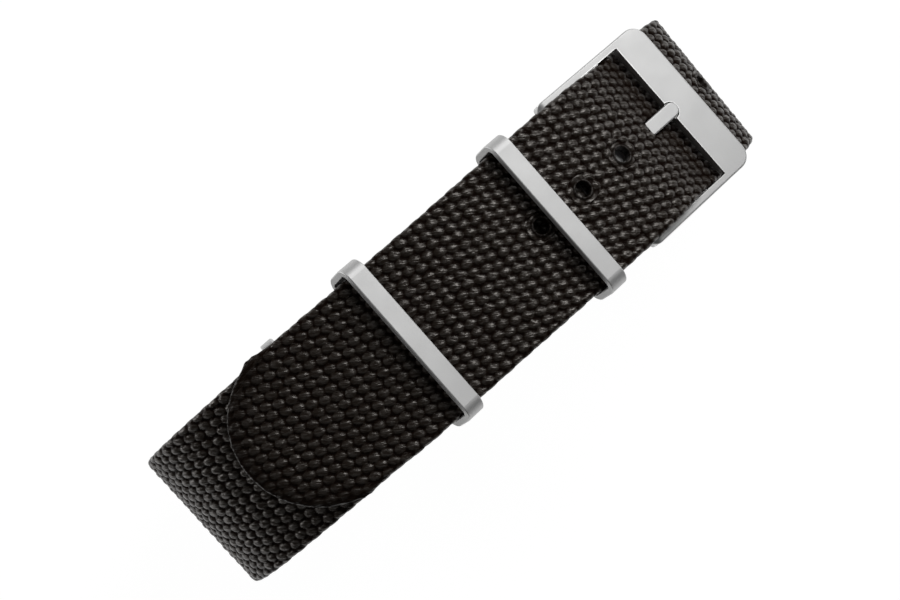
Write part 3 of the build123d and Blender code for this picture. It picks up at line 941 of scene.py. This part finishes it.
cloth = add_node(tree, "ShaderNodeAttribute", {}, attribute_name="cloth").outputs["Vector"]
laid = {"Vector": cloth, "Rotation": (0, 0, radians(-filament_turn)), "Scale": filament_size}
along_yarns = add_node(tree, "ShaderNodeMapping", laid, vector_type="TEXTURE").outputs["Vector"]
filaments = noise(tree, along_yarns, 1.0, 2.0)
dome_shine = ramp(tree, dome, 0.45, 0.85, 0.05, 0.76)
dull_melt, glossy_rim = ramp(tree, melted, 0, 0.85, 1, 0.25), ramp(tree, melted, 0.85, 1, 0, 0.38)
shine = calculate(tree, "MULTIPLY_ADD", dome_shine, dull_melt, glossy_rim)
streaks = calculate(tree, "MULTIPLY", shine, ramp(tree, filaments, 0.42, 0.58, 0.30, 1.55))
roughness = calculate(tree, "MULTIPLY_ADD", melted, melted_extra, woven_roughness)
feed(tree, shader, {
    "Specular IOR Level": streaks,
    "Specular Tint": glint_tint,
    "Roughness": roughness,
    "Normal": bumps(tree, filaments, 1.0, filament_depth),
})
print("filaments turned", filament_turn, "degrees")

# %% [markdown]
# ## The long webbing
# The long webbing is one piece, but it is woven in stretches. Most of them ride on the strap
# itself. The part that runs under the buckle's bar, over the tongue and past the hinge lies
# between the strap, the frame and the tongue. It is only given where its bends lie, and nothing
# here makes it bend. Stretches meet between two columns of domes, where no joint shows. What the
# tail covers gets a coarser grid.

# %% Stretches of the long webbing
FINE, PLAIN = (0.20, 204), (0.35, 136)
covered_reach, underside_reach = 43, 22
bend_columns = (-7, -3, 3, 6, 8)


def column_edge(distance):
    """The nearest edge between two columns of domes, counted from the tongue's hole."""
    return round((distance - tongue_at) / column_pitch) * column_pitch


hidden_until = column_edge(pin_over_at + covered_reach)
left_until = column_edge(pin_over_at + end_at)
under_until = column_edge(right_starts + underside_reach)
bend_edges = [column * column_pitch for column in bend_columns]
bar_from, tongue_from, tongue_until, pin_until, front_until = bend_edges
stretches = [
    ("webbing_sewn_end", -tongue_at, hidden_until, PLAIN),
    ("webbing_left_end", hidden_until, left_until, FINE),
    ("webbing_underside", left_until, under_until, PLAIN),
    ("webbing_right_end", under_until, bar_from, FINE),
    ("webbing_to_bar", bar_from, tongue_from, FINE),
    ("webbing_through_tongue", tongue_from, tongue_until, FINE),
    ("webbing_to_pin", tongue_until, pin_until, FINE),
    ("webbing_past_pin", pin_until, front_until, FINE),
    ("webbing_tail", front_until, tip_at - tongue_at, FINE),
]
print(len(stretches), "stretches of the long webbing")

# %% [markdown]
# The holes are 7 mm apart. The tongue comes through a wider hole at a slant, and at the pin the
# tongue's curl needs a slot in the fold. A webbing is never evenly wide either: beside the
# buckle's arms, past the pin and before the tip its edges bulge by up to 0.3 mm. A table of such
# swells is simpler to read and to change than a sculpted edge.

# %% Where it is opened and where it swells
hole_lip, lip_overlap, hole_margin, hole_squareness = 0.26, 0.03, 1.7, 2
hole_cells, hole_size = (4, 4), (hole_diameter / 2 + hole_lip - lip_overlap,) * 2
steps = [step for step in range(-holes_past_tongue, holes_before_tongue + 1) if step]
holes = [step * hole_pitch - hole_setback for step in steps]

slot_at = fold_starts + pin_fold[1] / 2 - tongue_at
slot_cells, slot_size, slot_squareness = (11, 5), (3.7, tongue_width / 2 + curl_slot_clearance), 10

slant = half / np.tan(radians(tongue_cross_angle))
mouth_reach = (tongue_thickness / 2 + tongue_hole_clearance) / sin(radians(tongue_cross_angle))
mouth_size = (mouth_reach, tongue_width / 2 + tongue_hole_clearance)
mouth_cells, mouth_squareness = (6, 6), 4

edge_swells = (
    (-14, 0), (-10, 0.22), (-3.5, 0.22), (-1.5, 0), (2, 0), (5, 0.20), (12, 0.20), (22, 0.10),
    (32, 0), (38, 0.02), (45, 0.12), (49, 0.12), (51.5, 0.02), (54, 0.02), (55.5, 0.30), (57, 0.10),
)
print("holes at", [round(hole, 2) for hole in holes], "mm from the tongue's")

# %% [markdown]
# Each stretch is laid out as a grid, opened, rounded if it is the tail, and only then woven. In
# another order the domes would be stretched along with the points that are pushed aside.

# %% Weaving the stretches
webbing = {}
for name, first, last, grid in stretches:
    skin = Skin(table, first, last, *grid)
    skin.swells = edge_swells
    for hole in holes:
        if first + hole_margin < hole < last - hole_margin:
            open_through(skin, hole, hole, hole_cells, hole_size, hole_squareness, hole_lip)
    if name == "webbing_sewn_end":
        open_through(skin, slot_at, slot_at, slot_cells, slot_size, slot_squareness)
        skin.closed_rows = [0]
    if name == "webbing_through_tongue":
        open_through(skin, -slant, slant, mouth_cells, mouth_size, mouth_squareness)
    if name == "webbing_tail":
        round_tip(skin, tip_at - tongue_at)
        melt_tip(skin, tip_at - tongue_at)
    webbing[name] = skin_object(name, skin)
    webbing[name].data.materials.append(nylon)
print("long webbing woven in", len(webbing), "stretches")

# %% [markdown]
# ## The short webbing
# It is cut from the same roll, square at both ends with the hot knife, and it has no holes. It
# could be one piece with the long one, but on the real strap it is a second strip, held only by
# the seams. Hardly any of it shows, so the coarser grid will do.

# %% The short webbing
short_table = midline_table(short_path, 0)
short_skin = Skin(short_table, 0, path_length(short_path), *PLAIN)
short_skin.closed_rows = [0, -1]
webbing["webbing_short"] = skin_object("webbing_short", short_skin)
webbing["webbing_short"].data.materials.append(nylon)
print("short webbing from", short_skin.count, "points round by", len(short_skin.along), "rows")

# %% [markdown]
# ## Steel
# The frame, pin, tongue and rings are stainless steel, blasted with fine beads and then lightly
# brushed, so they shine softly and show no sharp reflection. Tiny pits make that look, so the
# bump is a fine noise, and the roughness wanders a little as blasting leaves it. Sleeves and
# fingers have rubbed the edges smooth. The edges are also painted brighter, a painted highlight,
# and the inner corners are painted nearly black, a painted shade. This could be painted on each
# piece by hand, but two ambient occlusion nodes find both by themselves: one looks into the steel,
# where an outer edge is the thinnest, and one looks out of it, where an inner corner is the most
# sheltered.

# %% Steel material
edge_reach, corner_reach, occlusion_samples = 0.22, 0.6, 12
light_steel, dark_steel = (0.60, 0.60, 0.597, 1), (0.55, 0.55, 0.547, 1)
# The edge colour is a painted highlight, and the corner colour is a painted shade.
edge_highlight_steel, corner_shade_steel = (0.82, 0.82, 0.815, 1), (0.10, 0.095, 0.09, 1)
edge_smoothing, cloud_scale, pit_scale, pit_strength, pit_depth = -0.16, 260.0, 9000.0, 0.25, 0.02


def openness(tree, reach, inside):
    """How open a point's surroundings are, from 0 to 1, within a reach in millimetres."""
    settings = {"inside": inside, "samples": occlusion_samples}
    node = add_node(tree, "ShaderNodeAmbientOcclusion", {"Distance": reach * MM}, **settings)
    return node.outputs["AO"]


steel, tree, shader = new_material("blasted_steel")
where = add_node(tree, "ShaderNodeTexCoord", {}).outputs["Object"]
clouds, pits = noise(tree, where, cloud_scale, 3.0), noise(tree, where, pit_scale, 1.0)
# On outer edges the colour turns to the painted highlight, and in inner corners to the painted shade.
on_edge = ramp(tree, openness(tree, edge_reach, True), 0.85, 0.45, 0, 1)
in_corner_shade = ramp(tree, openness(tree, corner_reach, False), 0.55, 0.15, 0, 1)
blasted = mix_colour(tree, clouds, dark_steel, light_steel)
edge_highlighted = mix_colour(tree, on_edge, blasted, edge_highlight_steel)
roughness = ramp(tree, clouds, 0.3, 0.7, 0.53, 0.59)
feed(tree, shader, {
    "Base Color": mix_colour(tree, in_corner_shade, edge_highlighted, corner_shade_steel),
    "Metallic": 1.0,
    "Roughness": calculate(tree, "MULTIPLY_ADD", on_edge, edge_smoothing, roughness),
    "Normal": bumps(tree, pits, pit_strength, pit_depth),
})
steel_nodes = ["buckle_frame", "hinge_pin", "tongue", "keeper_front", "keeper_rear", "keeper_end"]
for name in steel_nodes:
    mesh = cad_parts[name].data
    mesh.materials.clear()
    mesh.materials.append(steel)
print("steel on", ", ".join(steel_nodes))

# %% [markdown]
# ## Stitches
# A lockstitch is a loop of thread round all the layers. A plain tube along a curve could stand
# for it, but close by a sewing thread is two plies twisted together. So each loop here is two
# round plies that wind about the loop's line, five times on their way round.

# %% The line of a stitch and its twisted plies
loop_steps, corner_steps, ply_sides, twists = 60, 6, 8, 5
ply_offset, ply_radius, loop_corner = 0.075, 0.10, 0.25


def loop_line(length, height):
    """Points round a flat loop with round corners, evenly spaced."""
    cx, cz = length / 2 - loop_corner, height / 2 - loop_corner
    outline = []
    for quarter, (sx, sz) in enumerate(((1, 1), (-1, 1), (-1, -1), (1, -1))):
        for a in np.linspace(0, pi / 2, corner_steps):
            angle = a + quarter * pi / 2
            outline.append((sx * cx + loop_corner * cos(angle), sz * cz + loop_corner * sin(angle)))
    outline = np.array(outline + outline[:1])
    reached = np.concatenate([[0], np.cumsum(np.hypot(*np.diff(outline, axis=0).T))])
    at = np.arange(loop_steps) * reached[-1] / loop_steps
    return np.interp(at, reached, outline[:, 0]), np.interp(at, reached, outline[:, 1])


def twisted_loop(length, height):
    """Points of one stitch's two plies: across the webbing, out of it and along it."""
    across, out = loop_line(length, height)
    step_across, step_out = (np.roll(line, -1) - np.roll(line, 1) for line in (across, out))
    size = np.hypot(step_across, step_out)
    ply, k, side = np.indices((2, loop_steps, ply_sides))
    wind, bend = pi * ply + 2 * pi * twists * k / loop_steps, 2 * pi * side / ply_sides
    away = ply_offset * np.cos(wind) + ply_radius * np.cos(bend)
    along = ply_offset * np.sin(wind) + ply_radius * np.sin(bend)
    return across[k] + (step_out / size)[k] * away, out[k] - (step_across / size)[k] * away, along


print("one stitch has", twisted_loop(stitch_length, pocket_step)[0].size, "points")

# %% [markdown]
# A row of stitches crosses the webbing at one distance from the pin, and runs through some of its
# layers. All its stitches are the same loop, set side by side and square to the webbing. An array
# modifier could copy the loop, but worked out as numbers a whole seam becomes one mesh at once.

# %% A mesh for rows of stitches
def stitch_mesh(name, rows):
    """Twisted loops for rows, each a distance from the pin and the depths of two layers."""
    count = int((strap_width - 2 * seam_edge_margin) / stitch_pitch)
    middles = (np.arange(count) - (count - 1) / 2) * stitch_pitch
    points = []
    for distance, first_layer, last_layer in rows:
        low, high = first_layer - half - thread_proud, last_layer + half + thread_proud
        x, z, heading = on_fixed(distance, (low + high) / 2)
        c, s = cos(radians(heading)), sin(radians(heading))
        across, out, along = twisted_loop(stitch_length, high - low - thread)
        px, pz = x - out * s + along * c, z + out * c + along * s
        places = np.broadcast_arrays(px, middles[:, None, None, None] + across, pz)
        points.append(np.stack(places, -1).reshape(-1, 3) * MM)
    points = np.vstack(points)
    index = np.arange(len(points)).reshape(-1, loop_steps, ply_sides)
    onward = np.roll(index, -1, axis=1)
    quads = np.stack([index, np.roll(index, -1, axis=2), np.roll(onward, -1, axis=2), onward], -1)
    mesh = bpy.data.meshes.new(name)
    mesh.from_pydata(points.tolist(), [], quads.reshape(-1, 4).tolist())
    mesh.shade_smooth()
    return add_object(name, mesh)


print("stitches", stitch_pitch, "mm apart")

# %% [markdown]
# ## Thread
# The thread is polyester, as black as the webbing. One flat colour would look like plastic wire,
# and single fibres are too fine to build, so a fine noise mottles it instead.

# %% Thread material
dark_thread, light_thread = (0.010, 0.008, 0.007, 1), (0.030, 0.025, 0.022, 1)
thread_roughness, fibre_scale = 0.45, 5000.0
polyester, tree, shader = new_material("twisted_thread")
where = add_node(tree, "ShaderNodeTexCoord", {}).outputs["Object"]
mottled = mix_colour(tree, noise(tree, where, fibre_scale, 2.0), dark_thread, light_thread)
feed(tree, shader, {"Base Color": mottled, "Roughness": thread_roughness})
print("thread from", dark_thread[:3], "to", light_thread[:3])

# %% [markdown]
# Four seams hold the strap together: two rows beside the buckle, one row behind the front ring's
# pocket, one row on each side of the rear ring's, and two rows where the short webbing is folded
# back round the third ring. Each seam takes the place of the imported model's simpler one. It could
# be added to that one, but the two would show through each other.

# %% Seams
first_row = fold_back_ramp + seam_edge_margin
rear_reach = pocket_half + pocket_ramp + seam_edge_margin
end_row = end_seam_at - seam_edge_margin
end_layers = (inner_step, 2 * inner_step)
seams = {
    "seam_buckle": [(first_row, 0, pocket_step), (first_row + stitch_row_spacing, 0, pocket_step)],
    "seam_front": [(front_at + rear_reach, 0, inner_step)],
    "seam_rear": [(rear_at - rear_reach, 0, inner_step), (rear_at + rear_reach, 0, inner_step)],
    "seam_end": [(end_row, *end_layers), (end_row - stitch_row_spacing, *end_layers)],
}
stitches = {}
for node, rows in seams.items():
    stitches[node] = stitch_mesh("stitches_" + node[5:], rows)
    stitches[node].data.materials.append(polyester)
    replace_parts(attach(stitches[node], "root"), node)
    print(node, len(rows), "rows")

# %% [markdown]
# ## What moves with what
# Each stretch of webbing rides on the strap's own body, except the ones between two bodies that
# one joint joins. An armature with painted weights could bend those. Here such a stretch only
# lists its two bodies and where its bend begins and ends, and keeps its place baked into its mesh;
# nothing here makes it bend. The webbing pieces stand for the model's smooth bands, which are
# then hidden.

# %% Bodies
def at(distance):
    """The midline's place at a distance from the tongue's hole, in metres."""
    return tuple(place(table, np.array([distance]), np.array([0.0]), np.array([0.0]))[0])


bends = {
    "webbing_to_bar": ("root", "buckle", bar_from, tongue_from),
    "webbing_through_tongue": ("buckle", "tongue", tongue_from, tongue_until),
    "webbing_to_pin": ("tongue", "buckle", tongue_until, pin_until),
    "webbing_past_pin": ("buckle", "root", pin_until, front_until),
}
for name, piece in webbing.items():
    if name in bends:
        first_body, second_body, first, last = bends[name]
        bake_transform(piece)
    else:
        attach(piece, "root")
    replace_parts(piece, "short_strap" if name == "webbing_short" else "long_strap")
print("bending stretches:", ", ".join(bends))

# %% [markdown]
# The woven pieces must fill the model's own box, give or take some tenths of a millimetre for the
# domes and the swelling edges. Only the model's box is written down here.

# %% Write the model's box
print("model", [round(c / MM, 1) for c in (*cad_low, *cad_high)])

# %% [markdown]
# ## Finish
# The last line says how many woven and sewn pieces were made.

# %% Finish
print("lesson finished with", len(webbing) + len(stitches), "woven and sewn pieces")
